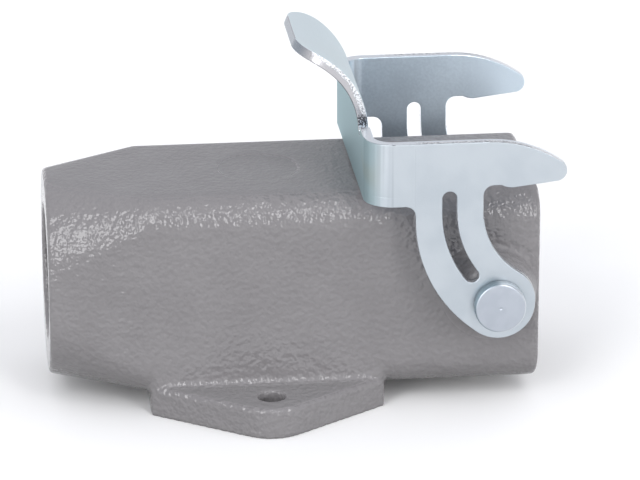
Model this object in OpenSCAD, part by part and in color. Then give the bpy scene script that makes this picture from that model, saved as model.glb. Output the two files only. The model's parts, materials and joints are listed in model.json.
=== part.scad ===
// Surface-mounting housing for a heavy-duty connector, with one locking lever.
// The origin lies midway between the two fixing holes, on the mounting plane.
// +X points to the mating end and +Z up. The part is mirror-symmetric about Y = 0.

/* [Casting] */
// Width of the housing across its sides
body_w = 30; // [29:0.2:34]
// Height of the housing from its underside to its top
body_h = 30.4; // [29:0.2:34]
// Gap between the mounting plane and the underside, beside the base
underside_gap = 2.8; // [2:0.1:4]
// Distance from the fixing-hole line to the mating face
mating_reach = 40.2; // [39:0.2:48]
// Distance from the fixing-hole line to the cable-entry end
entry_reach = 31.8; // [30:0.2:38]
// Distance from the fixing-hole line to the shoulder where the cable end narrows
shoulder_reach = 17.8; // [15:0.2:22]
// Rounding of the four long edges
long_edge_r = 4.6; // [3.6:0.1:6]
// Width of the cable-entry end
entry_w = 25; // [24:0.2:29]
// Corner radius of the cable-entry end
entry_corner_r = 11.6; // [6:0.2:11.8]
// Rounding of the edge round the cable-entry end
entry_edge_r = 0.5; // [0.3:0.1:1]
// Rounding of the edge round the mating end
mating_edge_r = 1; // [0.5:0.1:1.6]
// Diameter of the blank round pad sunk in the top
pad_d = 12.4; // [8:0.2:16]
// Depth of the blank round pad
pad_depth = 0.3; // [0.2:0.05:0.6]

/* [Base] */
// Length of the base along the housing
base_l = 34.6; // [30:0.2:40]
// Thickness of the base and its two ears
ear_t = 4.6; // [3.5:0.1:6]
// Distance between the two fixing holes
hole_spacing = 40; // [38:0.5:46]
// Diameter of the fixing holes
hole_d = 4; // [3:0.1:5]
// Metal between a fixing hole and the tip of its ear
ear_margin = 3.4; // [2.5:0.1:5]
// Radius of the ear tips
ear_tip_r = 6; // [4:0.2:8]
// Corner radius of the base
base_corner_r = 1.2; // [1.1:0.1:2.5]
// Rounding of the upper edges of the ears
ear_edge_r = 0.6; // [0.3:0.1:1]
// Radius of the fillet between the ears and the housing's sides
ear_fillet_r = 0.8; // [0.4:0.1:1.2]

/* [Mating end] */
// Thickness of the rim round the mating recess
rim_wall = 2.2; // [1.6:0.1:2.6]
// Depth of the recess that takes the seal and the mating hood
rim_depth = 5; // [3.5:0.1:6]
// Width of the seal's ledge at the sides of the insert socket
ledge_w = 1.8; // [1.2:0.1:2.4]
// Height of the seal's ledge above and below the insert socket
ledge_h = 2; // [1.2:0.1:2.4]
// Corner radius of the insert socket
socket_corner_r = 1; // [0.5:0.1:2]
// Distance from the mating face to the fixing post of the insert
socket_depth = 24; // [20:0.5:28]
// Thickness of the seal
seal_t = 2.2; // [1.5:0.1:3]
// Clearance round the seal
seal_clearance = 0.12; // [0.05:0.01:0.2]

/* [Insert post] */
// Width of the post
post_w = 7; // [6:0.2:9]
// Thickness of the post along the housing
post_t = 6; // [4:0.2:8]
// Core diameter of the insert's fixing thread
post_screw_d = 2.5; // [2:0.1:3.3]

/* [Cable entry] */
// Core diameter of the entry thread
thread_core_d = 18.376; // [16:0.002:19]
// Length of the entry thread, with its lead-in
thread_l = 12; // [9:0.5:14]
// Length of the lead-in chamfer
lead_in = 1; // [0.5:0.1:1.5]
// Length of the throat that widens from the thread to the inside
throat_l = 5.8; // [4:0.2:8]

/* [Pivot] */
// Distance from the mating face back to the lever's pivot
pivot_inset = 7; // [6.6:0.1:10]
// Diameter of the rivet shank
rivet_d = 5; // [4:0.1:6]
// Diameter of the rivet head
head_d = 7.5; // [6.5:0.1:9]
// Height of the rivet head
head_h = 1.7; // [1:0.1:2.2]
// Rounding of the rivet head's edge
head_edge_r = 0.35; // [0.2:0.05:0.8]
// Metal left between the rivet's seat and the mating recess
rivet_wall = 0.85; // [0.5:0.05:1.2]
// Height of the pivot boss above the housing's side
boss_h = 4.45; // [3:0.05:6]
// Diameter of the pivot boss under the lever
boss_d = 10.4; // [9:0.2:12]
// Diameter of the pivot boss at the wall
boss_root_d = 13; // [12:0.2:14]
// Clearance between the rivet shank and the lever
pivot_clearance = 0.05; // [0.02:0.01:0.08]
// Clearance between the boss and the lever
boss_clearance = 0.25; // [0.1:0.05:0.4]
// Clearance between the lever and the rivet head
head_clearance = 0.1; // [0.05:0.05:0.3]

/* [Lever] */
// Thickness of the sheet
sheet_t = 1.5; // [1.2:0.1:2]
// Height of the open lever's lower edge above the housing
rest_gap = 0.3; // [0.2:0.05:0.6]
// Height of the strip that joins the arms
strip_h = 9.55; // [8:0.1:12]
// Distance from the pivot back to the outside of the bridge
bridge_back = 19.5; // [18:0.1:24]
// Outer radius of the two corner bends
bend_r = 4.2; // [3:0.1:5]
// Distance from the pivot back to the middle of the arm at the strip
arm_back = 7.39; // [6.5:0.01:8.5]
// Width of the arm at the strip
arm_w = 9.92; // [9:0.02:11]
// Radius of the arm's end round the pivot
arm_end_r = 5.3; // [4.8:0.1:6]
// Distance from the pivot forward to the centre of the arm's inner curve
bow_reach = 8.9; // [7.5:0.1:10]
// Height of the strip's lower edge above the start of the inner curve
inner_drop = 1; // [0.5:0.1:2]
// Height of the strip's lower edge above the start of the outer curve
outer_drop = 2.1; // [1.5:0.1:3]
// Radius of the fillets in the corners of the arm
arm_fillet_r = 1.4; // [0.8:0.1:2]

/* [Lever slot] */
// Width of the curved slot in the arm
slot_w = 2.1; // [1.5:0.1:3]
// Height of the slot's upper end centre above the strip's lower edge
slot_rise = 1.1; // [0.5:0.1:2]
// Distance along the slot from its lower end centre to the pivot
slot_to_pivot = 6; // [5:0.1:8]

/* [Locking finger] */
// Distance from the arm forward to the fingertip
finger_reach = 12.1; // [10:0.1:15]
// Radius of the finger's upper edge
finger_top_r = 18.4; // [16:0.2:24]
// Distance from the arm to the start of the finger's upper curve
finger_top_start = 0.7; // [0.2:0.1:2]
// Radius of the fingertip
finger_tip_r = 1.6; // [1:0.1:2]
// Height of the peg seat above the strip's lower edge
seat_rise = 2.85; // [2:0.05:4]
// Distance from the arm to the detent bump
bump_reach = 4.1; // [3.5:0.1:5.5]
// Radius of the detent bump
bump_r = 3; // [2:0.1:4]
// Height of the detent bump below the peg seat
bump_h = 0.43; // [0.2:0.01:0.8]

/* [Thumb tab] */
// Width of the tab
tab_w = 21.6; // [16:0.2:26]
// Outer radius of the tab's curve
tab_bend_r = 13; // [9:0.1:15]
// Angle through which the tab curves
tab_angle = 68; // [45:1:75]
// Length of the straight stretch at the tip
tab_straight = 2.2; // [2:0.1:6]
// Corner radius of the tip
tab_corner_r = 5.7; // [2:0.1:7]
// Depth below the strip's upper edge at which the tab's curve starts
tab_start = 1.2; // [0.2:0.05:1.2]
// Width of the relief cuts beside the tab
relief_w = 1.9; // [1:0.1:2.5]
// Depth of the relief cuts
relief_depth = 1.4; // [1.3:0.1:2.5]

/* [Hidden] */

$fn = 64;
curve_fn = 128;
hull_fn = 32;
edge_steps = 4;
fillet_steps = 5;
slice_t = 0.002;
overcut = 1;

paint_grey = [0.56, 0.56, 0.57];
zinc_plate = [0.80, 0.84, 0.88];
rivet_steel = [0.68, 0.72, 0.77];
black_rubber = [0.09, 0.09, 0.10];

// Heights of the casting
axis_z = underside_gap + body_h / 2;
top_z = underside_gap + body_h;

// Base
ear_reach = hole_spacing / 2 + hole_d / 2 + ear_margin;
base_block_h = underside_gap + long_edge_r;

// Inside of the casting
recess_w = body_w - 2 * rim_wall;
recess_h = body_h - 2 * rim_wall;
recess_r = long_edge_r - rim_wall;
socket_w = recess_w - 2 * ledge_w;
socket_h = recess_h - 2 * ledge_h;
ledge_x = mating_reach - rim_depth;
post_x = mating_reach - socket_depth - post_t;
throat_x = -entry_reach + thread_l;
cavity_x = throat_x + throat_l;

// Pivot
pivot_x = mating_reach - pivot_inset;
pivot_z = axis_z;
boss_face = body_w / 2 + boss_h;
rivet_seat = recess_w / 2 + rivet_wall;

// Lever, open at rest on the housing
lever_w = 2 * (boss_face + boss_clearance + sheet_t);
head_seat = lever_w / 2 + head_clearance;
strip_z = top_z + rest_gap;
strip_top = strip_z + strip_h;
bridge_x = pivot_x - bridge_back;
arm_left_x = pivot_x - arm_back - arm_w / 2;
arm_right_x = pivot_x - arm_back + arm_w / 2;

// Inner curve of the arm: it runs out of the arm's straight right edge
inner_c = [pivot_x + bow_reach, strip_z - inner_drop];
inner_r = inner_c.x - arm_right_x;
to_pivot = unit([pivot_x, pivot_z] - inner_c);
pivot_turn = atan2(-to_pivot.y, -to_pivot.x);

// Outer curve of the arm: tangent to the straight left edge and to the round end
outer_z = strip_z - outer_drop;
outer_k = pivot_x - arm_left_x - arm_end_r;
outer_dz = outer_z - pivot_z;
outer_c = [pivot_x + (outer_dz * outer_dz - outer_k * outer_k) / (2 * outer_k), outer_z];
outer_r = outer_c.x - arm_left_x;

// Slot, along the middle of the arm
slot_r = inner_r + arm_w / 2;
slot_turn = pivot_turn - slot_to_pivot / slot_r * 180 / PI;
slot_top = [inner_c.x - slot_r, strip_z + slot_rise];

// Locking finger
seat_z = strip_z + seat_rise;
finger_c = [arm_right_x + finger_top_start, strip_top - finger_top_r];
tip_turn = asin((arm_right_x + finger_reach - finger_tip_r - finger_c.x) / (finger_top_r - finger_tip_r));
tip_c = finger_c + (finger_top_r - finger_tip_r) * [sin(tip_turn), cos(tip_turn)];
bump_c = [arm_right_x + bump_reach, seat_z - bump_h + bump_r];
ramp_normal = lower_tangent_normal(bump_c, bump_r, tip_c, finger_tip_r);

// Thumb tab
tab_axis_x = bridge_x + sheet_t - tab_bend_r;
tab_z = strip_top - tab_start;
tab_root = relief_depth;
bridge_w = lever_w - 2 * bend_r;

// Unit vector along v
function unit(v) = v / norm(v);

// Downward normal of the line that touches two circles from below
function lower_tangent_normal(c1, r1, c2, r2) =
    let (d = c2 - c1, turn = atan2(d.y, d.x) - acos((r1 - r2) / norm(d)))
    [cos(turn), sin(turn)];

// Rectangle with round corners, centred on the origin
module rounded_rect(w, h, r) {
    square([w - 2 * r, h], center = true);
    square([w, h - 2 * r], center = true);
    for (sx = [-1, 1], sy = [-1, 1])
        translate([sx * (w / 2 - r), sy * (h / 2 - r)])
            circle(r = r);
}

// Extrudes a profile drawn in Y and Z along +X from x
module along_x(x, length) {
    translate([x, 0, axis_z])
        rotate([90, 0, 90])
            linear_extrude(length)
                children();
}

// Turns an upright piece out to one side of the housing, about the pivot axis
module on_pivot(side) {
    translate([pivot_x, 0, pivot_z])
        rotate([-90 * side, 0, 0])
            children();
}

// Round post with a rounded upper edge
module edged_post(r, h, edge_r) {
    rotate_extrude() {
        square([r - edge_r, h]);
        square([r, h - edge_r]);
        translate([r - edge_r, h - edge_r])
            intersection() {
                circle(r = edge_r);
                square(edge_r);
            }
    }
}

// One section of the casting near its end, inset by an amount that follows the end's rounded edge
module end_slice(end_x, inward, w, corner_r, edge_r, step) {
    turn = 90 * step / edge_steps;
    inset = edge_r * (1 - sin(turn));
    along_x(end_x + inward * edge_r * (1 - cos(turn)) - (inward < 0 ? slice_t : 0), slice_t)
        rounded_rect(w - 2 * inset, body_h - 2 * inset, corner_r - inset, $fn = hull_fn);
}

// Outer form of the casting: round-cornered cable end, shoulder, then a straight box
module casting_form() {
    hull() {
        for (step = [0 : edge_steps]) {
            end_slice(-entry_reach, 1, entry_w, entry_corner_r, entry_edge_r, step);
            end_slice(mating_reach, -1, body_w, long_edge_r, mating_edge_r, step);
        }
        along_x(-shoulder_reach, slice_t)
            rounded_rect(body_w, body_h, long_edge_r, $fn = hull_fn);
    }
}

// Base plate with its two pointed ears
module base_plate() {
    hull()
        for (sy = [-1, 1]) {
            translate([0, sy * (ear_reach - ear_tip_r), 0])
                edged_post(ear_tip_r, ear_t, ear_edge_r, $fn = hull_fn);
            for (sx = [-1, 1])
                translate([sx * (base_l / 2 - base_corner_r), sy * (body_w / 2 - base_corner_r), 0])
                    edged_post(base_corner_r, ear_t, ear_edge_r, $fn = hull_fn);
        }
}

// Flat region on top of the base, inside its rounded edges
module ear_top() {
    hull()
        for (sy = [-1, 1]) {
            translate([0, sy * (ear_reach - ear_tip_r)])
                circle(r = ear_tip_r - ear_edge_r, $fn = hull_fn);
            for (sx = [-1, 1])
                translate([sx * (base_l / 2 - base_corner_r), sy * (body_w / 2 - base_corner_r)])
                    circle(r = base_corner_r - ear_edge_r, $fn = hull_fn);
        }
}

// Fillets from the ears up to the housing's sides, ending where the ears' edges round off
module ear_fillets() {
    root = ear_fillet_r / 2;
    intersection() {
        for (side = [0, 1])
            mirror([0, side, 0])
                translate([-base_l / 2, body_w / 2, ear_t])
                    rotate([90, 0, 90])
                        linear_extrude(base_l)
                            polygon([
                                [-root, -root],
                                [ear_fillet_r, -root],
                                for (turn = [0 : 90 / fillet_steps : 90])
                                    ear_fillet_r * [1 - sin(turn), 1 - cos(turn)],
                                [-root, ear_fillet_r]
                            ]);
        linear_extrude(ear_t + ear_fillet_r)
            ear_top();
    }
}

// Block that carries the housing on its base
module base_block() {
    linear_extrude(base_block_h)
        rounded_rect(base_l, body_w, base_corner_r);
}

// Conical boss that carries the lever at one side
module pivot_boss(side) {
    root = body_w / 2;
    on_pivot(side) {
        translate([0, 0, root - rim_wall / 2])
            cylinder(d = boss_root_d, h = rim_wall / 2);
        translate([0, 0, root])
            cylinder(d1 = boss_root_d, d2 = boss_d, h = boss_h);
    }
}

// Hollow of the casting: mating recess, insert socket, wiring space and cable entry
module casting_hollow() {
    along_x(ledge_x, rim_depth + overcut)
        rounded_rect(recess_w, recess_h, recess_r);
    along_x(cavity_x, ledge_x - cavity_x + overcut)
        rounded_rect(socket_w, socket_h, socket_corner_r);
    translate([-entry_reach, 0, axis_z])
        rotate([0, 90, 0]) {
            translate([0, 0, -overcut])
                cylinder(d = thread_core_d + 2 * lead_in, h = overcut);
            cylinder(d1 = thread_core_d + 2 * lead_in, d2 = thread_core_d, h = lead_in);
            cylinder(d = thread_core_d, h = thread_l);
            translate([0, 0, thread_l])
                cylinder(d1 = thread_core_d, d2 = min(socket_w, socket_h), h = throat_l);
        }
}

// Round-topped post on the floor of the hollow, with the thread for the insert's screw
module insert_post() {
    foot = socket_h / 2 + rim_wall / 2;
    difference() {
        along_x(post_x, post_t) {
            circle(d = post_w);
            translate([-post_w / 2, -foot])
                square([post_w, foot]);
        }
        along_x(post_x - overcut, post_t + 2 * overcut)
            circle(d = post_screw_d);
    }
}

module housing_body() {
    color(paint_grey) {
        difference() {
            union() {
                casting_form();
                base_plate();
                base_block();
                ear_fillets();
                for (side = [-1, 1])
                    pivot_boss(side);
            }
            casting_hollow();
            for (side = [-1, 1]) {
                translate([0, side * hole_spacing / 2, -overcut])
                    cylinder(d = hole_d, h = ear_t + 2 * overcut);
                on_pivot(side)
                    translate([0, 0, rivet_seat])
                        cylinder(d = rivet_d, h = boss_face - rivet_seat + overcut);
            }
            translate([0, 0, top_z - pad_depth])
                cylinder(d = pad_d, h = pad_depth + overcut);
        }
        insert_post();
    }
}

// Region of the plane to the left of the line from the inner curve's centre through the pivot
module left_of_pivot_line(z) {
    start = inner_c + to_pivot * (inner_c.y - z) / -to_pivot.y;
    end = [pivot_x, pivot_z] + 2 * arm_end_r * to_pivot;
    far_x = arm_left_x - arm_w;
    polygon([[far_x, z], start, end, [far_x, end.y]]);
}

// Sector of the plane, from straight left of c down through the given turn
module left_sector(c, turn) {
    far = 3 * slot_r;
    polygon([c, for (a = [0, turn / 2, turn]) c - far * [cos(a), sin(a)]]);
}

// Bowed arm from the strip down to the pivot
module bowed_arm() {
    difference() {
        intersection() {
            translate(outer_c)
                circle(r = outer_r, $fn = curve_fn);
            left_of_pivot_line(outer_z);
        }
        translate(inner_c)
            circle(r = inner_r, $fn = curve_fn);
    }
    translate([arm_left_x, outer_z])
        square([arm_w, strip_top - outer_z]);
    translate(inner_c + (inner_r + arm_w / 2) * to_pivot)
        circle(d = arm_w);
    translate([pivot_x, pivot_z])
        circle(r = arm_end_r);
}

// Strip beside the arm, up to the corner bend, with a fillet into the arm
module strip_side() {
    start = bridge_x + bend_r;
    translate([start, strip_z])
        square([arm_left_x - start + overcut, strip_h]);
    difference() {
        translate([arm_left_x - arm_fillet_r, strip_z - arm_fillet_r])
            square(arm_fillet_r);
        translate([arm_left_x - arm_fillet_r, strip_z - arm_fillet_r])
            circle(r = arm_fillet_r);
    }
}

// Locking finger: curved back, round tip, lead-in ramp, detent bump and peg seat
module locking_finger() {
    ramp_start = bump_c + bump_r * ramp_normal;
    ramp_end = tip_c + finger_tip_r * ramp_normal;
    back_end = finger_c + 2 * finger_top_r * [sin(tip_turn), cos(tip_turn)];
    intersection() {
        translate(finger_c)
            circle(r = finger_top_r, $fn = curve_fn);
        polygon([
            [finger_c.x, seat_z],
            [bump_c.x, seat_z],
            ramp_start,
            ramp_end,
            tip_c,
            back_end,
            [finger_c.x, back_end.y]
        ]);
    }
    translate([arm_right_x - overcut, seat_z])
        square([finger_top_start + overcut, strip_top - seat_z]);
    translate(bump_c)
        circle(r = bump_r);
    translate(tip_c)
        circle(r = finger_tip_r);
    difference() {
        translate([arm_right_x, seat_z - arm_fillet_r])
            square(arm_fillet_r);
        translate([arm_right_x + arm_fillet_r, seat_z - arm_fillet_r])
            circle(r = arm_fillet_r);
    }
}

// Curved slot that makes the finger springy
module arm_slot() {
    intersection() {
        difference() {
            translate(inner_c)
                circle(r = slot_r + slot_w / 2, $fn = curve_fn);
            translate(inner_c)
                circle(r = slot_r - slot_w / 2, $fn = curve_fn);
        }
        left_sector(inner_c, slot_turn);
    }
    translate([slot_top.x - slot_w / 2, inner_c.y])
        square([slot_w, slot_top.y - inner_c.y]);
    translate(slot_top)
        circle(d = slot_w);
    translate(inner_c - slot_r * [cos(slot_turn), sin(slot_turn)])
        circle(d = slot_w);
}

// Flat outline of one arm, drawn in X and Z
module arm_outline() {
    difference() {
        union() {
            bowed_arm();
            strip_side();
            locking_finger();
        }
        arm_slot();
        translate([pivot_x, pivot_z])
            circle(d = rivet_d + 2 * pivot_clearance);
    }
}

// One arm of the lever
module lever_arm(side) {
    translate([0, side > 0 ? lever_w / 2 : sheet_t - lever_w / 2, 0])
        rotate([90, 0, 0])
            linear_extrude(sheet_t)
                arm_outline();
}

// Quarter bend between an arm and the bridge
module corner_bend(side) {
    translate([bridge_x + bend_r, side * bridge_w / 2, 0])
        rotate([0, 0, side > 0 ? 90 : 180])
            rotate_extrude(angle = 90)
                translate([bend_r - sheet_t, strip_z])
                    square([sheet_t, strip_h]);
}

// Bridge between the two bends, lower where the tab leaves it
module lever_bridge() {
    shoulder_y = tab_w / 2 + relief_w;
    difference() {
        union() {
            translate([bridge_x, -bridge_w / 2, strip_z])
                cube([sheet_t, bridge_w, tab_z - strip_z]);
            for (side = [-1, 1])
                translate([bridge_x, side > 0 ? shoulder_y : -bridge_w / 2, strip_z])
                    cube([sheet_t, bridge_w / 2 - shoulder_y, strip_h]);
        }
        for (side = [-1, 1])
            translate([bridge_x - overcut, side * (shoulder_y - relief_w / 2), strip_top - relief_depth]) {
                translate([0, 0, relief_w / 2])
                    rotate([0, 90, 0])
                        cylinder(d = relief_w, h = sheet_t + 2 * overcut);
                translate([0, -relief_w / 2, relief_w / 2])
                    cube([sheet_t + 2 * overcut, relief_w, relief_depth]);
            }
    }
}

// What a round corner of the tab's tip leaves off, drawn across its width and along its length
module tab_corner_waste() {
    translate([tab_w / 2 - tab_corner_r, tab_straight - tab_corner_r])
        difference() {
            square(tab_corner_r + overcut);
            circle(r = tab_corner_r);
        }
}

// Thumb tab that curves up and back from the bridge
module thumb_tab() {
    translate([tab_axis_x, 0, tab_z])
        rotate([90, 0, 0])
            difference() {
                union() {
                    rotate_extrude(angle = tab_angle, $fn = curve_fn)
                        translate([tab_bend_r - sheet_t, -tab_w / 2])
                            square([sheet_t, tab_w]);
                    rotate([0, 0, tab_angle])
                        translate([tab_bend_r - sheet_t, 0, -tab_w / 2])
                            cube([sheet_t, tab_straight, tab_w]);
                    translate([tab_bend_r - sheet_t, -tab_root, -tab_w / 2])
                        cube([sheet_t, tab_root, tab_w]);
                }
                for (side = [0, 1])
                    mirror([0, 0, side])
                        rotate([0, 0, tab_angle])
                            rotate([0, 90, 0])
                                linear_extrude(tab_bend_r + overcut)
                                    tab_corner_waste();
            }
}

module locking_lever() {
    color(zinc_plate) {
        for (side = [-1, 1]) {
            lever_arm(side);
            corner_bend(side);
        }
        lever_bridge();
        thumb_tab();
    }
}

// Rivet that holds one arm, seated in its boss
module pivot_rivet(side) {
    color(rivet_steel)
        on_pivot(side) {
            translate([0, 0, rivet_seat])
                cylinder(d = rivet_d, h = head_seat - rivet_seat);
            translate([0, 0, head_seat])
                edged_post(head_d / 2, head_h, head_edge_r);
        }
}

module front_pivot_rivet() {
    pivot_rivet(-1);
}

module rear_pivot_rivet() {
    pivot_rivet(1);
}

// Flat seal on the ledge of the mating recess
module mating_seal() {
    color(black_rubber)
        along_x(ledge_x, seal_t)
            difference() {
                rounded_rect(recess_w - 2 * seal_clearance, recess_h - 2 * seal_clearance,
                    recess_r - seal_clearance);
                rounded_rect(socket_w + 2 * seal_clearance, socket_h + 2 * seal_clearance,
                    socket_corner_r + seal_clearance);
            }
}

housing_body();
locking_lever();
front_pivot_rivet();
rear_pivot_rivet();
mating_seal();
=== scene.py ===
"""Looks of a painted connector housing with a plated lever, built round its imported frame."""

import json
import logging
import math
from collections.abc import Iterable, Mapping, Sequence
from dataclasses import dataclass, field
from enum import Enum

import bmesh
import bpy
from bmesh.types import BMEdge, BMesh, BMVert
from mathutils import Matrix, Vector
from mathutils.bvhtree import BVHTree


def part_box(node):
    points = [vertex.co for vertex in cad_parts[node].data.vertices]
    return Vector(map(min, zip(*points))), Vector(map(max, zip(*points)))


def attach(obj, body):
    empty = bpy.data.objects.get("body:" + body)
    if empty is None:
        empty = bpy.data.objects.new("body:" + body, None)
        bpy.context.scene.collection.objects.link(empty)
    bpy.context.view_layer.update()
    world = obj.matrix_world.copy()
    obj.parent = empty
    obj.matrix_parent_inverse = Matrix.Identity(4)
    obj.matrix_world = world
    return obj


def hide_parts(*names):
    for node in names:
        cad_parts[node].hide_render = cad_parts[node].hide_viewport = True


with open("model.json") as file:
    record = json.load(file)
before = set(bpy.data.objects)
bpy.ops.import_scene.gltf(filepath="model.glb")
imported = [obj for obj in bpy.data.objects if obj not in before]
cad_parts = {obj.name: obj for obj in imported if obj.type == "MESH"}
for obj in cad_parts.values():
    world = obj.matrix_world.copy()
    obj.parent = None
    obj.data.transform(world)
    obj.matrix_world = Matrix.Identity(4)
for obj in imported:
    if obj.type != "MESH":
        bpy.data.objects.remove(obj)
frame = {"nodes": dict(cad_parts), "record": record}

MM = 0.001
AXIS_X = Vector((1, 0, 0))
AXIS_Y = Vector((0, 1, 0))
PIVOT_X = 33.2
PIVOT_Z = 18.0
SHEET_DEPTH = "sheet_depth"
Colour = tuple[float, float, float]
Span = tuple[float, float]
log = logging.getLogger("connector_housing")


class Body(Enum):
    """The two bodies that the pivot joins."""

    HOUSING = "housing"
    LEVER = "lever"


class Slot(Enum):
    """The record's finishes."""

    PAINT = "painted_casting"
    ZINC = "zinc_plated_sheet"
    RIVET = "rivet_steel"
    SEAL = "seal_rubber"


class Rounded(Enum):
    """What a rounding takes off."""

    EDGES = "EDGES"
    CORNERS = "VERTICES"


class Signal:
    """A shader output that takes part in Python arithmetic."""

    def __init__(self, graph: "Graph", socket: bpy.types.NodeSocket | None) -> None:
        """Wraps one output socket of a graph."""
        self.graph = graph
        self.socket = socket

    def math(self, operation: str, *terms: "Signal | float") -> "Signal":
        """Adds a Math node on some terms and returns its result."""
        return self.graph.node("ShaderNodeMath", {"operation": operation}, dict(enumerate(terms)))

    def __add__(self, other: "Signal | float") -> "Signal":
        """Sum."""
        return self.math("ADD", self, other)

    def __radd__(self, other: float) -> "Signal":
        """Sum, from the right."""
        return self.math("ADD", other, self)

    def __sub__(self, other: "Signal | float") -> "Signal":
        """Difference."""
        return self.math("SUBTRACT", self, other)

    def __rsub__(self, other: float) -> "Signal":
        """Difference, from the right."""
        return self.math("SUBTRACT", other, self)

    def __mul__(self, other: "Signal | float") -> "Signal":
        """Product."""
        return self.math("MULTIPLY", self, other)

    def __rmul__(self, other: float) -> "Signal":
        """Product, from the right."""
        return self.math("MULTIPLY", other, self)

    def __abs__(self) -> "Signal":
        """Absolute value."""
        return self.math("ABSOLUTE", self)

    def inverse_root(self) -> "Signal":
        """One over the square root."""
        return self.math("INVERSE_SQRT", self)

    def larger(self, other: "Signal") -> "Signal":
        """The larger of two values."""
        return self.math("MAXIMUM", self, other)


class Graph:
    """The node tree of one material or of the world."""

    def __init__(self, owner: bpy.types.Material | bpy.types.World) -> None:
        """Clears the owner's node tree.

        Args:
            owner: The material or world that the nodes belong to.
        """
        owner.use_nodes = True
        self.tree = owner.node_tree
        self.tree.nodes.clear()

    @staticmethod
    def find(sockets: Iterable[bpy.types.NodeSocket], key: str | int) -> bpy.types.NodeSocket:
        """Finds a socket.

        Args:
            sockets: The inputs or outputs of a node.
            key: The socket's place, identifier or name.

        Returns:
            The first socket that the key fits.
        """
        sockets = list(sockets)
        if isinstance(key, int):
            return sockets[key]
        return next(s for s in sockets if key in (s.identifier, s.name))

    def node(
        self,
        kind: str,
        settings: Mapping[str, object] | None = None,
        sockets: Mapping[str | int, object] | None = None,
        output: str | int = 0,
    ) -> Signal:
        """Adds a node.

        Args:
            kind: Blender's type of the node.
            settings: Properties that are set first, with a ramp's stops under "stops".
            sockets: Values or signals of the inputs, by name, identifier or place.
            output: The output that is returned.

        Returns:
            The chosen output, or the first one.
        """
        made = self.tree.nodes.new(kind)
        for name, value in (settings or {}).items():
            if name == "stops":
                self._set_stops(made.color_ramp, value)
            else:
                setattr(made, name, value)
        for key, value in (sockets or {}).items():
            socket = self.find(made.inputs, key)
            if isinstance(value, Signal):
                self.tree.links.new(value.socket, socket)
            elif isinstance(value, tuple) and socket.type == "RGBA":
                socket.default_value = (*value, 1.0)
            else:
                socket.default_value = value
        return Signal(self, self.find(made.outputs, output) if len(made.outputs) else None)

    @staticmethod
    def _set_stops(ramp: bpy.types.ColorRamp, stops: Sequence[tuple[float, Colour]]) -> None:
        """Sets a colour ramp's stops.

        Args:
            ramp: The ramp.
            stops: Position and colour of each stop, in order.
        """
        while len(ramp.elements) < len(stops):
            ramp.elements.new(1.0)
        for element, (position, colour) in zip(ramp.elements, stops):
            element.position = position
            element.color = (*colour, 1.0)

    def place(self) -> Signal:
        """Object coordinates, in metres."""
        return self.node("ShaderNodeTexCoord", output="Object")

    def axes(self) -> tuple[Signal, Signal, Signal]:
        """X, Y and Z of the object coordinates."""
        return self.parts(self.place())

    def facing(self) -> tuple[Signal, Signal, Signal]:
        """X, Y and Z of the surface's normal, in the object's own frame."""
        return self.parts(self.node("ShaderNodeTexCoord", output="Normal"))

    def parts(self, vector: Signal) -> tuple[Signal, Signal, Signal]:
        """Splits a vector.

        Args:
            vector: The vector.

        Returns:
            Its X, Y and Z.
        """
        split = self.node("ShaderNodeSeparateXYZ", sockets={"Vector": vector})
        outputs = split.socket.node.outputs
        return tuple(Signal(self, outputs[name]) for name in ("X", "Y", "Z"))

    def attribute(self, name: str) -> Signal:
        """A number that the mesh stores for each vertex."""
        return self.node("ShaderNodeAttribute", {"attribute_name": name}, output="Fac")

    def reach(self, x: float, z: float) -> Signal:
        """Measures the distance from an axis along Y.

        Args:
            x: Place of the axis, in millimetres.
            z: Its height, in millimetres.

        Returns:
            The distance, in metres.
        """
        seen = self.vector("SUBTRACT", self.place(), (x * MM, 0, z * MM))
        return self.vector("LENGTH", self.vector("MULTIPLY", seen, (1, 0, 1)), output="Value")

    def rounding(self, flat: float, bent: float) -> Signal:
        """Finds the roundings between faces that look along an axis.

        Args:
            flat: Largest part of the normal where a face ends.
            bent: Largest part of the normal on a full rounding.

        Returns:
            0 on the faces, 1 on the roundings.
        """
        normal = self.node("ShaderNodeNewGeometry", output="Normal")
        x, y, z = self.parts(self.vector("ABSOLUTE", normal))
        return self.step(x.larger(y).larger(z), flat, bent)

    def noise(self, size: float, detail: float, stretch: Colour = (1, 1, 1)) -> Signal:
        """Noise whose blotches are about a size in millimetres.

        Args:
            size: Size of a blotch.
            detail: Number of finer layers.
            stretch: Factors on the coordinates, below 1 along which the noise is drawn out.

        Returns:
            The noise, about 0.5 on average.
        """
        mapped = self.node("ShaderNodeMapping", sockets={"Vector": self.place(), "Scale": stretch})
        sockets = {"Vector": mapped, "Scale": 1 / (size * MM), "Detail": detail}
        return self.node("ShaderNodeTexNoise", sockets=sockets)

    def step(self, value: Signal, low: float, high: float) -> Signal:
        """Smooth step from 0 at low to 1 at high."""
        sockets = {"Value": value, "From Min": low, "From Max": high}
        return self.node("ShaderNodeMapRange", {"interpolation_type": "SMOOTHSTEP"}, sockets)

    def fade(self, along: Signal, start: float, end: float) -> Signal:
        """Smooth step of a length in metres, from 0 at start to 1 at end in millimetres."""
        return self.step(along, start * MM, end * MM)

    def mix(self, factor: Signal, a: Signal | Colour, b: Signal | Colour) -> Signal:
        """Colour between a and b."""
        sockets = {"Factor_Float": factor, "A_Color": a, "B_Color": b}
        return self.node("ShaderNodeMix", {"data_type": "RGBA"}, sockets, "Result_Color")

    def bump(self, height: Signal, depth: float, under: Signal | None = None) -> Signal:
        """Adds a relief.

        Args:
            height: The relief, from 0 to 1.
            depth: Its full height, in millimetres.
            under: Normal of a relief below it.

        Returns:
            The normal.
        """
        sockets = {"Height": height, "Distance": depth * MM}
        if under is not None:
            sockets["Normal"] = under
        return self.node("ShaderNodeBump", sockets=sockets)

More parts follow.
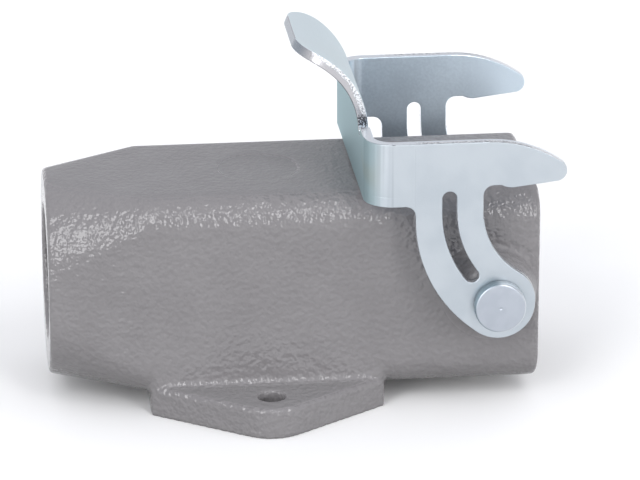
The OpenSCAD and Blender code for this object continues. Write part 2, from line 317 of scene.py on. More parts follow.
    def eased(self, normal: Signal, slope: float) -> Signal:
        """Limits softly how far a relief tilts the surface.

        Args:
            normal: Normal of the relief.
            slope: Tilt that the relief comes near to and doesn't pass.

        Returns:
            The eased normal.
        """
        flat = self.node("ShaderNodeNewGeometry", output="Normal")
        tilt = self.vector("SUBTRACT", normal, flat)
        steep = self.vector("LENGTH", tilt, output="Value")
        share = slope * (steep * steep + slope * slope).inverse_root()
        leaning = self.vector("ADD", flat, self.vector("SCALE", tilt, scale=share))
        return self.vector("NORMALIZE", leaning)

    def vector(
        self,
        operation: str,
        *terms: Signal | Colour,
        scale: Signal | None = None,
        output: str = "Vector",
    ) -> Signal:
        """Adds a Vector Math node.

        Args:
            operation: What it does.
            *terms: Its vectors.
            scale: Its factor, where it has one.
            output: The output that is returned.

        Returns:
            The result.
        """
        sockets = dict(enumerate(terms))
        if scale is not None:
            sockets["Scale"] = scale
        return self.node("ShaderNodeVectorMath", {"operation": operation}, sockets, output)

    def surface(self, ior: float = 1.5, **sockets: object) -> None:
        """Ends the graph in a Principled shader.

        Args:
            ior: Index of refraction.
            **sockets: Values or signals of the other inputs, named with underscores.
        """
        named = {key.replace("_", " "): value for key, value in sockets.items()}
        shader = self.node("ShaderNodeBsdfPrincipled", sockets={**named, "IOR": ior})
        self.node("ShaderNodeOutputMaterial", sockets={"Surface": shader})


@dataclass(frozen=True)
class PaintedCasting:
    """Glossy grey stove enamel with an orange-peel skin, duller on top and round the pivots; the
    ears' tops carry painted light.
    """

    colour: Colour = (0.206, 0.197, 0.202)
    pale: Colour = (0.226, 0.217, 0.222)
    # Painted light: the paler tone that brightens the ears' upward faces low down.
    paler_tone: Colour = (0.246, 0.237, 0.242)
    ior: float = 1.6
    roughness: float = 0.04
    cloud_rough: float = 0.05
    boss_rough: float = 0.34
    top_rough: float = 0.38
    peel_size: float = 0.8
    peel_detail: float = 1.2
    peel_depth: float = 0.26
    peel_slope: float = 0.30
    edge_gain: float = 0.7
    edge_span: Span = (0.998, 0.95)
    top_gain: float = 0.1
    top_span: Span = (0.9, 0.98)
    cloud_size: float = 7.0
    cloud_detail: float = 3.0
    cloud_share: float = 0.7
    cloud_span: Span = (0.3, 0.7)
    boss_span: Span = (8.4, 7.4)
    wall_span: Span = (14.5, 14.8)
    ear_span: Span = (7.5, 5.5)

    def material(self) -> bpy.types.Material:
        """Makes the material.

        Returns:
            The material of the casting.
        """
        made = bpy.data.materials.new(Slot.PAINT.value)
        graph = Graph(made)
        _, y, z = graph.axes()
        peel = graph.noise(self.peel_size, self.peel_detail)
        clouds = graph.noise(self.cloud_size, self.cloud_detail)
        top = graph.step(graph.facing()[2], *self.top_span)
        edges = graph.rounding(*self.edge_span)
        relief = peel * (1 + self.edge_gain * edges + self.top_gain * top)
        outside = graph.fade(abs(y), *self.wall_span)
        boss = graph.fade(graph.reach(PIVOT_X, PIVOT_Z), *self.boss_span) * outside
        blotches = clouds * self.cloud_share + peel * (1 - self.cloud_share)
        paint = graph.mix(graph.step(blotches, *self.cloud_span), self.colour, self.pale)
        # Painted light: the ears' upward faces low down are painted paler, as if more light fell
        # on them.
        painted_light_ears = top * graph.fade(z, *self.ear_span)
        dull = clouds * self.cloud_rough + boss * self.boss_rough + top * self.top_rough
        graph.surface(
            Base_Color=graph.mix(painted_light_ears, paint, self.paler_tone),
            Roughness=self.roughness + dull,
            ior=self.ior,
            Normal=graph.eased(graph.bump(relief, self.peel_depth), self.peel_slope),
        )
        return made


@dataclass(frozen=True)
class ZincPlate:
    """Bright zinc plate with a blue passivation that turns teal on the bridge and the tab,
    darkened there by painted reflection.
    """

    colour: Colour = (0.465, 0.51, 0.547)
    pale: Colour = (0.505, 0.548, 0.582)
    # Painted reflection: the darker teal and straw tints of the bridge and tab stand in for the
    # darker surroundings they reflect, besides a passivation tint.
    teal: Colour = (0.35, 0.47, 0.49)
    straw: Colour = (0.36, 0.43, 0.40)
    # Painted light: the inner side and the tab's face are paler, bluer copies of the same plate,
    # for the light that they reflect.
    inner: Colour = (0.565, 0.65, 0.72)
    inner_pale_painted_light: Colour = (0.70, 0.795, 0.865)
    tab_face_painted_light: Colour = (0.785, 0.83, 0.845)
    # Painted reflection: colour of the dark vertical bands in the bends, over the press marks'
    # real relief.
    pressed: Colour = (0.34, 0.375, 0.41)
    grazing: Colour = (0.80, 0.88, 0.90)
    roughness: float = 0.36
    cloud_rough: float = 0.08
    tab_rough: float = 0.34
    bridge_rough: float = 0.17
    cloud_size: float = 6.0
    cloud_detail: float = 2.0
    cloud_span: Span = (0.35, 0.65)
    mottle_size: float = 0.4
    mottle_detail: float = 4.0
    mottle_share: float = 0.6
    low_painted_light: float = 0.5
    low_span: Span = (38.5, 33.5)
    tip_span: Span = (31.0, 39.0)
    tab_share: float = 0.85
    tab_span: Span = (43.5, 46.5)
    inner_span: Span = (0.4, 0.9)
    bridge_span: Span = (16.6, 14.0)
    tab_end_span: Span = (2.0, 14.0)
    outer_tint: float = 0.8
    inner_tint: float = 0.1
    straw_size: float = 9.0
    straw_detail: float = 1.0
    straw_span: Span = (0.5, 0.7)
    arm_mark_x: float = 20.7
    corner_mark_z: float = 35.1
    corner_mark_span: Span = (19.0, 18.0)
    mark_w: float = 0.16
    mark_depth: float = 0.012
    press_x_span: Span = (18.2, 17.6)
    press_y_span: Span = (16.4, 17.0)
    press_size: float = 0.8
    press_detail: float = 1.0
    press_stretch: Colour = (1, 1, 0.02)
    reflection_band_share: float = 0.5
    reflection_band_span: Span = (0.44, 0.62)
    press_depth: float = 0.05
    grain_size: float = 0.5
    grain_detail: float = 2.0
    grain_depth: float = 0.012

    def material(self) -> bpy.types.Material:
        """Makes the material.

        Returns:
            The material of the sheet's two sides.
        """
        made = bpy.data.materials.new(Slot.ZINC.value)
        graph = Graph(made)
        x, y, z = graph.axes()
        clouds = graph.noise(self.cloud_size, self.cloud_detail)
        inner_side = graph.step(graph.attribute(SHEET_DEPTH), *self.inner_span)
        outer_side = 1 - inner_side
        tab = graph.fade(z, *self.tab_span)
        outside = graph.mix(graph.step(clouds, *self.cloud_span), self.colour, self.pale)
        inside_painted_light = graph.mix(tab * self.tab_share, self.arms(graph, clouds), self.tab_face_painted_light)
        plate = graph.mix(inner_side, outside, inside_painted_light)
        # Painted reflection on the bridge and tab, mixed with the passivation tint, stronger on
        # the outer side.
        bridge = graph.fade(x, *self.bridge_span) * graph.fade(x, *self.tab_end_span)
        straw = graph.step(graph.noise(self.straw_size, self.straw_detail), *self.straw_span)
        tint_and_reflection = graph.mix(straw, self.teal, self.straw)
        arm_mark = self.groove(graph, x, self.arm_mark_x) * outer_side
        corner_mark = self.groove(graph, z, self.corner_mark_z)
        corner_mark = corner_mark * graph.fade(x, *self.corner_mark_span)
        marks = graph.bump(arm_mark + corner_mark, -self.mark_depth)
        bend = graph.fade(x, *self.press_x_span) * graph.fade(abs(y), *self.press_y_span)
        bands = graph.noise(self.press_size, self.press_detail, self.press_stretch)
        pressed = graph.bump(bands * bend, self.press_depth, marks)
        # Painted reflection bands in the bend, drawn from the same noise as the press marks'
        # relief.
        painted_reflection_bands = graph.step(bands, *self.reflection_band_span) * bend * self.reflection_band_share
        plate = graph.mix(painted_reflection_bands, plate, self.pressed)
        tint_and_reflection_share = bridge * (self.outer_tint - (self.outer_tint - self.inner_tint) * inner_side)
        dull = tab * inner_side * self.tab_rough + bridge * outer_side * self.bridge_rough
        grain = graph.noise(self.grain_size, self.grain_detail)
        graph.surface(
            Base_Color=graph.mix(tint_and_reflection_share, plate, tint_and_reflection),
            Metallic=1.0,
            Roughness=self.roughness + clouds * self.cloud_rough + dull,
            Specular_Tint=self.grazing,
            Normal=graph.bump(grain, self.grain_depth, pressed),
        )
        return made

    def arms(self, graph: Graph, clouds: Signal) -> Signal:
        """Mottled colour of the arms' inner side, with painted light: paler low down, even and
        darker at the fingertips.

        Args:
            graph: The graph of the material.
            clouds: Its large blotches.

        Returns:
            The colour.
        """
        x, _, z = graph.axes()
        fine = graph.noise(self.mottle_size, self.mottle_detail)
        mottle = fine * self.mottle_share + clouds * (1 - self.mottle_share)
        spots = graph.step(mottle, *self.cloud_span) * (1 - self.low_painted_light)
        # Painted light: paler low down on the arms' inner side.
        low = graph.fade(z, *self.low_span) * self.low_painted_light
        tip = graph.fade(x, *self.tip_span)
        return graph.mix((spots + low) * (1 - tip), self.inner, self.inner_pale_painted_light)

    def groove(self, graph: Graph, along: Signal, place: float) -> Signal:
        """A thin line across an axis: 1 on it, 0 away from it."""
        return graph.fade(abs(along - place * MM), self.mark_w, 0.0)


@dataclass(frozen=True)
class ShearedEdge:
    """Cut edge of the plated sheet: a smooth sheared band and a rough broken band, with painted
    shade along its border, in the tab's root corners and on the tab's end.
    """

    smooth: Colour = (0.50, 0.495, 0.51)
    # Painted shade: colour of the tab's end face, darker than its sheared band.
    end: Colour = (0.28, 0.31, 0.35)
    arm_smooth: Colour = (0.84, 0.875, 0.91)
    broken: Colour = (0.86, 0.87, 0.88)
    chips: Colour = (0.36, 0.37, 0.40)
    # Colour of the painted shade at the cut edge's outer border and in the tab's root corners.
    painted_shade: Colour = (0.10, 0.10, 0.11)
    roughness: float = 0.24
    broken_rough: float = 0.2
    break_depth: float = 0.5
    break_fade: float = 0.08
    tab_break: float = 0.64
    wander: float = 0.4
    wander_size: float = 1.5
    wander_detail: float = 1.0
    grain_size: float = 0.24
    grain_detail: float = 3.0
    grain_depth: float = 0.03
    chip_span: Span = (0.48, 0.58)
    end_span: Span = (-0.55, -0.85)
    roll_span: Span = (0.1, 0.1 / 3)
    # Painted shade: strength of the dark line along the edge's outer border, lighter on the
    # fingers.
    roll_shade: float = 0.75
    finger_shade: float = 0.25
    tip_span: Span = (7.8, 6.8)
    tab_span: Span = (43.2, 44.0)
    arm_span: Span = (20.5, 22.5)
    finger_span: Span = (36.5, 39.0)
    # Place and size of the painted shade in the tab's root corners.
    notch_y: float = 11.3
    notch_z: float = 43.4
    notch_r: float = 0.9
    notch_fray: float = 3.6

    def material(self) -> bpy.types.Material:
        """Makes the material.

        Returns:
            The material of the sheet's cut edges.
        """
        made = bpy.data.materials.new("sheared_edge")
        graph = Graph(made)
        x, y, z = graph.axes()
        depth = graph.attribute(SHEET_DEPTH)
        grain = graph.noise(self.grain_size, self.grain_detail)
        wander = (graph.noise(self.wander_size, self.wander_detail) - 0.5) * self.wander
        tab = graph.fade(z, *self.tab_span)
        arm = 1 - tab
        tip = tab * graph.fade(x, *self.tip_span)
        finger = graph.fade(x, *self.finger_span)
        cut = tab * depth + arm * (1 - depth)
        torn = (1 - tip) * tab + arm * graph.fade(x, *self.arm_span)
        border = cut + wander - tab * (self.tab_break - self.break_depth)
        ends = (self.break_depth - self.break_fade, self.break_depth + self.break_fade)
        broken = graph.step(border, *ends) * torn
        chips = graph.step(grain, *self.chip_span) * (1 - finger)
        chipped = graph.mix(chips, self.broken, self.chips)
        # Painted shade on the tab's end face, picked by the way it faces.
        shaded_tab_end = graph.step(graph.facing()[0], *self.end_span)
        sheared = graph.mix(tab, self.arm_smooth, graph.mix(shaded_tab_end, self.smooth, self.end))
        band = graph.mix(broken, sheared, chipped)
        # Painted shade along the outer border of the cut edge, and in the tab's root corners.
        roll = graph.step(depth, *self.roll_span)
        rolled_edge_shade = roll * (self.roll_shade - (self.roll_shade - self.finger_shade) * finger)
        painted_shade = rolled_edge_shade + self.notch_shade(graph, y, z, grain) * (1 - roll)
        graph.surface(
            Base_Color=graph.mix(painted_shade, band, self.painted_shade),
            Metallic=1.0,
            Roughness=self.roughness + broken * self.broken_rough,
            Normal=graph.bump(grain * broken, self.grain_depth),
        )
        return made

    def notch_shade(self, graph: Graph, y: Signal, z: Signal, grain: Signal) -> Signal:
        """The ragged painted shade in the corner at each root of the tab.

        Args:
            graph: The graph of the material.
            y: Place across the tab, in metres.
            z: Height, in metres.
            grain: Noise that frays the corner's border.

        Returns:
            1 in the corner, 0 away from it.
        """
        away = abs(abs(y) - self.notch_y * MM).larger(abs(z - self.notch_z * MM))
        frayed = away + (grain - 0.5) * (self.notch_fray * MM)
        return graph.fade(frayed, self.notch_r, self.notch_r / 2)


@dataclass(frozen=True)
class RivetSteel:
    """Smooth plated rivet, with a painted reflection on the head's rim: dark teal on one side,
    pale on the other.
    """

    colour: Colour = (0.43, 0.465, 0.515)
    pale: Colour = (0.455, 0.49, 0.54)
    # Painted reflection on the head's rim, dark teal towards -X and pale towards +X.
    rim_dark_reflection: Colour = (0.24, 0.33, 0.37)
    rim_bright_reflection: Colour = (0.80, 0.83, 0.85)
    roughness: float = 0.3
    cloud_rough: float = 0.1
    cloud_size: float = 1.6
    cloud_detail: float = 3.0
    cloud_span: Span = (0.35, 0.65)
    rim_reflection_share: float = 0.7
    rim_span: Span = (3.5, 3.7)
    reflection_span: Span = (-0.9, 0.6)
    grain_size: float = 0.15
    grain_detail: float = 2.0
    grain_depth: float = 0.004

    def material(self) -> bpy.types.Material:
        """Makes the material.

        Returns:
            The material of both rivets.
        """
        made = bpy.data.materials.new(Slot.RIVET.value)
        graph = Graph(made)
        clouds = graph.noise(self.cloud_size, self.cloud_detail)
        face = graph.mix(graph.step(clouds, *self.cloud_span), self.colour, self.pale)
        # Painted reflection on the rim, from dark teal to pale across the head.
        rim = graph.fade(graph.reach(PIVOT_X, PIVOT_Z), *self.rim_span) * self.rim_reflection_share
        across = graph.axes()[0] - PIVOT_X * MM
        tint_and_reflection = graph.mix(graph.fade(across, *self.reflection_span), self.rim_dark_reflection, self.rim_bright_reflection)
        grain = graph.noise(self.grain_size, self.grain_detail)
        graph.surface(
            Base_Color=graph.mix(rim, face, tint_and_reflection),
            Metallic=1.0,
            Roughness=self.roughness + clouds * self.cloud_rough,
            Normal=graph.bump(grain, self.grain_depth),
        )
        return made


@dataclass(frozen=True)
class SealRubber:
    """Matt black rubber."""

    colour: Colour = (0.014, 0.014, 0.015)
    paler_tone: Colour = (0.035, 0.035, 0.036)
    roughness: float = 0.5
    bloom_rough: float = 0.2
    bloom_size: float = 2.0
    bloom_detail: float = 3.0
    bloom_span: Span = (0.4, 0.7)
    grain_size: float = 0.2
    grain_detail: float = 2.0
    grain_depth: float = 0.01

    def material(self) -> bpy.types.Material:
        """Makes the material.

        Returns:
            The material of the seal.
        """
        made = bpy.data.materials.new(Slot.SEAL.value)
        graph = Graph(made)
        bloom = graph.noise(self.bloom_size, self.bloom_detail)
        grain = graph.noise(self.grain_size, self.grain_detail)
        graph.surface(
            Base_Color=graph.mix(graph.step(bloom, *self.bloom_span), self.colour, self.paler_tone),
            Roughness=self.roughness + bloom * self.bloom_rough,
            Normal=graph.bump(grain, self.grain_depth),
        )
        return made


def merged_copy(node: str, gap: float) -> BMesh:
    """Copies a frame node's mesh.

    Args:
        node: Name of the node.
        gap: Distance in millimetres under which vertices are merged.

    Returns:
        The merged copy.
    """
    bm = bmesh.new()
    bm.from_mesh(frame["nodes"][node].data)
    bmesh.ops.remove_doubles(bm, verts=bm.verts, dist=gap * MM)
    return bm


def sharp_edges(bm: BMesh, angle: float) -> list[BMEdge]:
    """Edges between two faces that meet at more than an angle."""
    return [e for e in bm.edges if len(e.link_faces) == 2 and e.calc_face_angle() > angle]


def round_off(
    bm: BMesh,
    geom: Sequence[BMEdge | BMVert],
    radius: float,
    segments: int,
    affect: Rounded = Rounded.EDGES,
    clamp: bool = False,
) -> None:
    """Rounds edges or corners.

    Args:
        bm: The mesh.
        geom: Its edges or corners.
        radius: Size of the rounding, in millimetres.
        segments: Number of its facets.
        affect: What is rounded.
        clamp: Whether roundings that would meet stay apart.
    """
    bmesh.ops.bevel(
        bm,
        geom=geom,
        offset=radius * MM,
        offset_type="OFFSET",
        affect=affect.value,
        segments=segments,
        profile=0.5,
        material=-1,
        clamp_overlap=clamp,
    )


def new_object(
    bm: BMesh, name: str, materials: Sequence[bpy.types.Material]
) -> bpy.types.Object:
    """Turns a bmesh into a smooth-shaded object at the origin.

    Args:
        bm: The mesh, which is freed.
        name: Name of the piece.
        materials: Its materials.

    Returns:
        The object, linked to the scene.
    """
    for face in bm.faces:
        face.smooth = True
    mesh = bpy.data.meshes.new(name)
    bm.to_mesh(mesh)
    bm.free()
    for material in materials:
        mesh.materials.append(material)
    made = bpy.data.objects.new(name, mesh)
    bpy.context.scene.collection.objects.link(made)
    return made


def finished(obj: bpy.types.Object) -> BMesh:
    """Applies an object's modifiers.

    Args:
        obj: The object, which is removed.

    Returns:
        The finished mesh.
    """
    shown = obj.evaluated_get(bpy.context.evaluated_depsgraph_get())
    bm = bmesh.new()
    bm.from_mesh(shown.to_mesh())
    bpy.data.objects.remove(obj)
    return bm


def shade_flats(obj: bpy.types.Object) -> None:
    """Keeps flat faces flat in the light, next to their roundings."""
    normals = obj.modifiers.new("flat_faces", "WEIGHTED_NORMAL")
    normals.keep_sharp = False


def stand_in(obj: bpy.types.Object, node: str, body: Body) -> None:
    """Puts a piece in the place of a frame node.

    Args:
        obj: The piece.
        node: The node that it stands for.
        body: The body that it rides on.
    """
    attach(obj, body.value)
    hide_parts(node)
    log.info("%s: %d faces, stands for %s", obj.name, len(obj.data.polygons), node)


@dataclass
class Casting:
    """The painted die casting, with the cable entry's thread."""

    node: str = "housing_body"
    merge_gap: float = 0.002
    voxel: float = 0.3
    smoothing: int = 3
    kept_share: float = 0.44
    thread_core_r: float = 9.188
    thread_r: float = 10.0
    pitch: float = 1.5
    thread_l: float = 12.0
    lead_in: float = 1.0
    crest_w: float = 0.375
    root_w: float = 1.31
    root_sink: float = 0.3
    thread_steps: int = 48
    bore_slack: float = 0.02
    end_slack: float = 0.1
    finish: PaintedCasting = field(default_factory=PaintedCasting)

    def build(self) -> bpy.types.Object:
        """Models and dresses the casting.

        Returns:
            The casting.
        """
        bm = merged_copy(self.node, self.merge_gap)
        self.open_thread(bm)
        rough = new_object(bm, "casting_form", [])
        remesh = rough.modifiers.new("skin", "REMESH")
        remesh.mode = "VOXEL"
        remesh.voxel_size = self.voxel * MM
        smooth = rough.modifiers.new("worn_edges", "SMOOTH")
        smooth.iterations = self.smoothing
        thin = rough.modifiers.new("fewer_flat_faces", "DECIMATE")
        thin.ratio = self.kept_share
        bm = finished(rough)
        self.cut_thread(bm)
        made = new_object(bm, "painted_housing", [self.finish.material()])
        stand_in(made, self.node, Body.HOUSING)
        return made

    def entry(self) -> Vector:
        """Finds the centre of the cable entry's mouth.

        Returns:
            The centre, in metres.
        """
        low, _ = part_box(self.node)
        mount = next(m for m in frame["record"]["mounts"] if m["name"] == "cable_entry")
        return Vector((low.x, *mount["pos_m"][1:]))

    def open_thread(self, bm: BMesh) -> None:
        """Widens the core bore of the entry to the thread's outer diameter.

        Args:
            bm: The casting's mesh.
        """
        centre = self.entry()
        wall = [v for v in bm.verts if self.on_bore(v.co - centre)]
        growth = self.thread_r / self.thread_core_r
        space = Matrix.Translation(-centre)
        bmesh.ops.scale(bm, vec=(1, growth, growth), space=space, verts=wall)

    def on_bore(self, place: Vector) -> bool:
        """Tells whether a point, seen from the mouth, lies on the core bore."""
        off_wall = abs(math.hypot(place.y, place.z) / MM - self.thread_core_r)
        return off_wall < self.bore_slack and place.x < (self.thread_l + self.end_slack) * MM

    def cut_thread(self, bm: BMesh) -> None:
        """Adds the helical ridge between the thread's turns.

        Args:
            bm: The casting's mesh.
        """
        centre = self.entry()
        turns = (self.thread_l - self.lead_in) / self.pitch - 1
        start = self.lead_in + self.pitch / 2
        flank = [
            (self.root_w / 2, self.thread_r + self.root_sink),
            (self.root_w / 2, self.thread_r),
            (self.crest_w / 2, self.thread_core_r),
        ]
        profile = [
            *((start - half_w, r) for half_w, r in flank),
            *((start + half_w, r) for half_w, r in reversed(flank)),
        ]
        ridge = bmesh.new()
        verts = [ridge.verts.new(centre + Vector((x, 0, r)) * MM) for x, r in profile]
        face = ridge.faces.new(verts)
        bmesh.ops.spin(
            ridge,
            geom=[face, *face.edges, *face.verts],
            cent=centre,
            axis=AXIS_X,
            dvec=AXIS_X * self.pitch * MM / self.thread_steps,
            angle=turns * math.tau,
            steps=round(turns * self.thread_steps),
        )
        bmesh.ops.recalc_face_normals(ridge, faces=ridge.faces)
        scratch = bpy.data.meshes.new("thread_ridge")
        ridge.to_mesh(scratch)
        ridge.free()
        bm.from_mesh(scratch)
        bpy.data.meshes.remove(scratch)


@dataclass
class LockingLever:
    """The stamped and bent locking lever, with rounded and sheared edges."""

    node: str = "locking_lever"
    merge_gap: float = 0.02
    sheet_t: float = 1.5
    sheet_slack: float = 0.1
    probe_gap: float = 0.01
    bend_r: float = 4.2
    tab_bend_r: float = 13.0
    tab_rise: float = 41.85
    tab_clear: float = 2.0
    edge_r: float = 0.16
    edge_segments: int = 3
    flat: float = math.radians(0.5)
    sharp: float = math.radians(50)
    plate: ZincPlate = field(default_factory=ZincPlate)
    edge: ShearedEdge = field(default_factory=ShearedEdge)

    def build(self) -> bpy.types.Object:
        """Models and dresses the lever.

        Returns:
            The lever.
        """
        bm = merged_copy(self.node, self.merge_gap)
        self.mark_edges(bm)
        bmesh.ops.dissolve_limit(
            bm, angle_limit=self.flat, verts=bm.verts, edges=bm.edges, delimit={"MATERIAL"}
        )
        round_off(bm, sharp_edges(bm, self.sharp), self.edge_r, self.edge_segments)
        made = new_object(bm, "zinc_lever", [self.plate.material(), self.edge.material()])
        self.write_depth(made.data)
        shade_flats(made)
        stand_in(made, self.node, Body.LEVER)
        return made

    def mark_edges(self, bm: BMesh) -> None:
        """Gives the cut edges the second material.

        They are the faces with no sheet face behind them at the sheet's thickness.

        Args:
            bm: The lever's mesh.
        """
        tree = BVHTree.FromBMesh(bm)
        for face in bm.faces:
            start = face.calc_center_median() - face.normal * self.probe_gap * MM
            _, _, _, reach = tree.ray_cast(start, -face.normal)
            on_sheet = reach is not None and abs(reach / MM - self.sheet_t) < self.sheet_slack
            face.material_index = 0 if on_sheet else 1

    def write_depth(self, mesh: bpy.types.Mesh) -> None:
        """Stores how deep each vertex lies below the sheet's outer side, from 0 to 1.

        Args:
            mesh: The lever's mesh.
        """
        _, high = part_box(self.node)
        half_w = high.y / MM
        bridge_x = self.bridge_x(mesh)
        layer = mesh.attributes.new(SHEET_DEPTH, "FLOAT", "POINT")
        for vertex, value in zip(mesh.vertices, layer.data):
            value.value = self.depth(vertex.co / MM, half_w, bridge_x) / self.sheet_t

    def bridge_x(self, mesh: bpy.types.Mesh) -> float:
        """Outer face of the bridge: the lowest X below the tab's root, in millimetres."""
        top = (self.tab_rise - self.tab_clear) * MM
        return min(v.co.x for v in mesh.vertices if v.co.z < top) / MM

    def depth(self, place: Vector, half_w: float, bridge_x: float) -> float:
        """Depth of a point below the sheet's outer side, in millimetres.

        Args:
            place: The point.
            half_w: Half the width over the arms.
            bridge_x: X of the bridge's outer face.

        Returns:
            The depth.
        """
        bend_x = bridge_x + self.bend_r
        bend_y = half_w - self.bend_r
        if place.z > self.tab_rise and place.x < bend_x and abs(place.y) < bend_y:
            axis_x = bridge_x + self.sheet_t - self.tab_bend_r
            reach = math.hypot(place.x - axis_x, place.z - self.tab_rise)
            return reach - self.tab_bend_r + self.sheet_t
        if place.x > bend_x:
            return half_w - abs(place.y)
        if abs(place.y) > bend_y:
            return self.bend_r - math.hypot(place.x - bend_x, abs(place.y) - bend_y)
        return place.x - bridge_x


@dataclass
class PivotRivets:
    """The two rivets, turned from one profile."""

    nodes: Mapping[str, int] = field(
        default_factory=lambda: {"front_pivot_rivet": -1, "rear_pivot_rivet": 1}
    )
    merge_gap: float = 0.001
    head_r: float = 3.75
    head_h: float = 1.7
    shank_r: float = 2.5
    edge_r: float = 0.35
    edge_steps: int = 6
    mark_r: float = 0.16
    mark_depth: float = 0.1
    mark_lip: float = 0.05
    mark_ring: float = 0.15
    crown: float = 0.04
    steps: int = 72
    finish: RivetSteel = field(default_factory=RivetSteel)

    def build(self) -> list[bpy.types.Object]:
        """Models and dresses both rivets."""
        material = self.finish.material()
        return [self.rivet(node, side, material) for node, side in self.nodes.items()]

    def profile(self, length: float) -> list[tuple[float, float]]:
        """Radius and height of the rivet's outline.

        Args:
            length: Overall length, in millimetres.

        Returns:
            The points from the middle of the head to the middle of the shank's end.
        """
        flat_r = self.head_r - self.edge_r
        edge_h = length - self.crown - self.edge_r
        shares = [1 - step / self.edge_steps for step in range(self.edge_steps + 1)]
        turns = [math.pi / 2 * share for share in shares]
        rim = [
            (flat_r + self.edge_r * math.cos(turn), edge_h + self.edge_r * math.sin(turn))
            for turn in turns
        ]
        return [
            (0, length - self.mark_depth),
            (self.mark_r, length - self.mark_lip),
            (self.mark_r + self.mark_lip, length),
            (self.mark_r + self.mark_ring, length),
            (flat_r / 2, length - self.crown / 4),
            *rim,
            (self.head_r, length - self.head_h),
            (self.shank_r, length - self.head_h),
            (self.shank_r, 0),
            (0, 0),
        ]

    def rivet(self, node: str, side: int, material: bpy.types.Material) -> bpy.types.Object:
        """Turns one rivet.

        Args:
            node: The node that it stands for.
            side: Its side of the housing, -1 or 1 along Y.
            material: Its material.

        Returns:
            The rivet.
        """
        low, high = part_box(node)
        foot = high.y if side < 0 else low.y
        seat = Vector(((low.x + high.x) / 2, foot, (low.z + high.z) / 2))
        outline = self.profile((high.y - low.y) / MM)
        bm = bmesh.new()
        verts = [bm.verts.new(seat + Vector((r, side * h, 0)) * MM) for r, h in outline]
        edges = [bm.edges.new(pair) for pair in zip(verts, verts[1:])]
        bmesh.ops.spin(
            bm,
            geom=[*verts, *edges],
            cent=seat,
            axis=AXIS_Y,
            angle=math.tau,
            steps=self.steps,
            use_merge=True,
        )
        bmesh.ops.remove_doubles(bm, verts=bm.verts, dist=self.merge_gap * MM)
        bmesh.ops.recalc_face_normals(bm, faces=bm.faces)
        made = new_object(bm, node.replace("pivot_rivet", "rivet"), [material])
        shade_flats(made)
        stand_in(made, node, Body.HOUSING)
        return made


@dataclass
class MatingSeal:
    """The flat seal on the ledge of the mating recess."""

    node: str = "mating_seal"
    hole: float = 22.24
    outer_r: float = 2.28
    hole_r: float = 1.12
    corner_segments: int = 8
    edge_r: float = 0.4
    edge_segments: int = 4
    sharp: float = math.radians(60)
    finish: SealRubber = field(default_factory=SealRubber)

    def build(self) -> bpy.types.Object:
        """Models and dresses the seal.

        Returns:
            The seal.
        """
        low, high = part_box(self.node)
        size = (high - low) / MM
        bm = bmesh.new()
        outer = self.rounded_loop(bm, size.y, size.z, self.outer_r)
        inner = self.rounded_loop(bm, self.hole, self.hole, self.hole_r)
        bmesh.ops.bridge_loops(bm, edges=[*outer, *inner])
        grown = bmesh.ops.extrude_face_region(bm, geom=list(bm.faces))
        raised = [v for v in grown["geom"] if isinstance(v, BMVert)]
        bmesh.ops.translate(bm, vec=AXIS_X * (high.x - low.x), verts=raised)
        bmesh.ops.translate(bm, vec=(low.x, 0, (low.z + high.z) / 2), verts=bm.verts)
        bmesh.ops.recalc_face_normals(bm, faces=bm.faces)
        corners = sharp_edges(bm, self.sharp)
        round_off(bm, corners, self.edge_r, self.edge_segments, clamp=True)
        made = new_object(bm, "rubber_seal", [self.finish.material()])
        stand_in(made, self.node, Body.HOUSING)
        return made

    def rounded_loop(self, bm: BMesh, w: float, h: float, r: float) -> list[BMEdge]:
        """Draws a rectangle with round corners across X.

        Args:
            bm: The mesh that takes the loop.
            w: Its width along Y, in millimetres.
            h: Its height along Z.
            r: Radius of its corners.

        Returns:
            The loop's edges.
        """
        known = set(bm.edges)
        places = [(-w / 2, -h / 2), (w / 2, -h / 2), (w / 2, h / 2), (-w / 2, h / 2)]
        verts = [bm.verts.new(Vector((0, y, z)) * MM) for y, z in places]
        for pair in zip(verts, [*verts[1:], verts[0]]):
            bm.edges.new(pair)
        round_off(bm, verts, r, self.corner_segments, Rounded.CORNERS)
        return [e for e in bm.edges if e not in known]


@dataclass(frozen=True)
class SoftBox:
    """A rectangular studio lamp aimed at the object."""

    name: str
    azimuth: float
    elevation: float
    width: float
    height: float
    radiance: float
    distance: float = 2.4
    mirrored: bool = True

    def build(self, target: Vector) -> bpy.types.Object:
        """Places the lamp.

        Args:
            target: The point that it faces.

        Returns:
            The lamp.
        """
        lamp = bpy.data.lights.new(self.name, "AREA")
        lamp.shape = "RECTANGLE"
        lamp.size = self.width
        lamp.size_y = self.height
        lamp.energy = math.pi * self.width * self.height * self.radiance
        made = bpy.data.objects.new(self.name, lamp)
        away = towards(self.azimuth, self.elevation)
        made.location = target + away * self.distance
        made.rotation_euler = away.to_track_quat("Z", "Y").to_euler()
        made.visible_camera = False
        made.visible_glossy = self.mirrored
        bpy.context.scene.collection.objects.link(made)
        return made


def towards(azimuth: float, elevation: float) -> Vector:
    """Finds the way from the object to a place round it.

    Args:
        azimuth: Turn from the front to the right, in degrees.
        elevation: Rise from the floor, in degrees.

    Returns:
        The unit vector.
    """
    turn, rise = math.radians(azimuth), math.radians(elevation)
    across = math.cos(rise)
    return Vector((math.sin(turn) * across, -math.cos(turn) * across, math.sin(rise)))


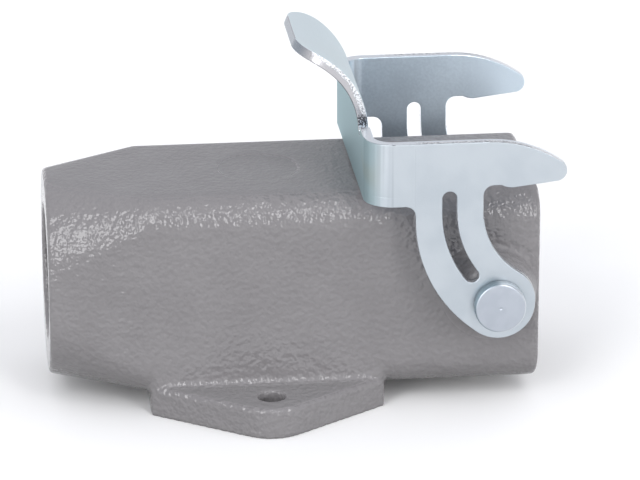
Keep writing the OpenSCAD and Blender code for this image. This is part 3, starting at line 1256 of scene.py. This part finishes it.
@dataclass
class Studio:
    """Pale floor, soft light and the camera."""

    target: Vector = field(default_factory=lambda: Vector((9.243, 0, 21.154)) * MM)
    camera_azimuth: float = -6.06
    camera_elevation: float = 20.323
    camera_roll: float = -0.078
    camera_distance: float = 0.64404
    clip_start: float = 0.01
    focal_px: float = 4315.1
    image_w: int = 640
    sensor_w: float = 36.0
    floor_size: float = 6.0
    floor_drop: float = 0.02
    floor_rough: float = 0.9
    floor_seen: Colour = (0.98, 0.975, 0.97)
    floor_bounce: Colour = (0.26, 0.26, 0.26)
    sky: tuple[tuple[float, Colour], ...] = (
        (0.0, (0.86, 0.865, 0.88)),
        (0.12, (0.84, 0.845, 0.865)),
        (0.21, (0.60, 0.61, 0.645)),
        (0.55, (0.50, 0.515, 0.56)),
        (0.95, (0.67, 0.68, 0.71)),
    )
    sky_strength: float = 1.2
    lamps: tuple[SoftBox, ...] = (
        SoftBox("left_box", -37.0, 24.0, width=1.02, height=2.2, radiance=4.3),
        SoftBox("right_box", 24.0, 31.0, width=0.46, height=2.8, radiance=5.1),
        SoftBox("right_fill", 72.0, 12.0, width=1.6, height=0.66, radiance=4.8, mirrored=False),
        SoftBox("back_fill", 165.0, 14.0, width=2.2, height=0.9, radiance=2.0, mirrored=False),
    )

    def build(self) -> None:
        """Makes the floor, the light and the camera."""
        self.floor()
        self.world()
        for lamp in self.lamps:
            lamp.build(self.target)
        self.camera()
        bpy.context.scene.view_settings.view_transform = "Standard"

    def floor(self) -> bpy.types.Object:
        """Lays the floor, which the camera and the metal see white and which throws back less.

        Returns:
            The floor.
        """
        bm = bmesh.new()
        bmesh.ops.create_grid(bm, x_segments=1, y_segments=1, size=self.floor_size / 2)
        bmesh.ops.translate(bm, vec=(0, 0, -self.floor_drop * MM), verts=bm.verts)
        material = bpy.data.materials.new("studio_floor")
        graph = Graph(material)
        rays = ("Is Camera Ray", "Is Glossy Ray", "Is Transmission Ray")
        camera, glossy, through = (graph.node("ShaderNodeLightPath", output=ray) for ray in rays)
        seen = graph.step(camera + glossy + through, 0.0, 1.0)
        graph.surface(
            Base_Color=graph.mix(seen, self.floor_bounce, self.floor_seen),
            Roughness=self.floor_rough,
            Specular_IOR_Level=0.0,
        )
        made = new_object(bm, "studio_floor", [material])
        return made

    def world(self) -> None:
        """Sets the light of the room, which is pale at the horizon and overhead."""
        world = bpy.data.worlds.new("studio")
        graph = Graph(world)
        _, _, rise = graph.parts(graph.node("ShaderNodeTexCoord"))
        colour = graph.node("ShaderNodeValToRGB", {"stops": self.sky}, {"Fac": rise})
        sockets = {"Color": colour, "Strength": self.sky_strength}
        light = graph.node("ShaderNodeBackground", sockets=sockets)
        graph.node("ShaderNodeOutputWorld", sockets={"Surface": light})
        bpy.context.scene.world = world

    def camera(self) -> None:
        """Sets the camera to the photographed view."""
        lens = bpy.data.cameras.new("camera")
        lens.sensor_fit = "HORIZONTAL"
        lens.sensor_width = self.sensor_w
        lens.lens = self.focal_px / self.image_w * self.sensor_w
        lens.clip_start = self.clip_start
        made = bpy.data.objects.new("camera", lens)
        away = towards(self.camera_azimuth, self.camera_elevation)
        roll = Matrix.Rotation(math.radians(self.camera_roll), 4, "Z")
        turn = away.to_track_quat("Z", "Y").to_matrix().to_4x4() @ roll
        made.matrix_world = Matrix.Translation(self.target + away * self.camera_distance) @ turn
        bpy.context.scene.collection.objects.link(made)
        bpy.context.scene.camera = made


def main() -> None:
    """Builds every sub-assembly, then the studio."""
    logging.basicConfig(level=logging.INFO, format="%(message)s")
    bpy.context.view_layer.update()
    for assembly in (Casting(), LockingLever(), PivotRivets(), MatingSeal(), Studio()):
        assembly.build()
        log.info("built %s", type(assembly).__name__)


if __name__ == "__main__":
    main()
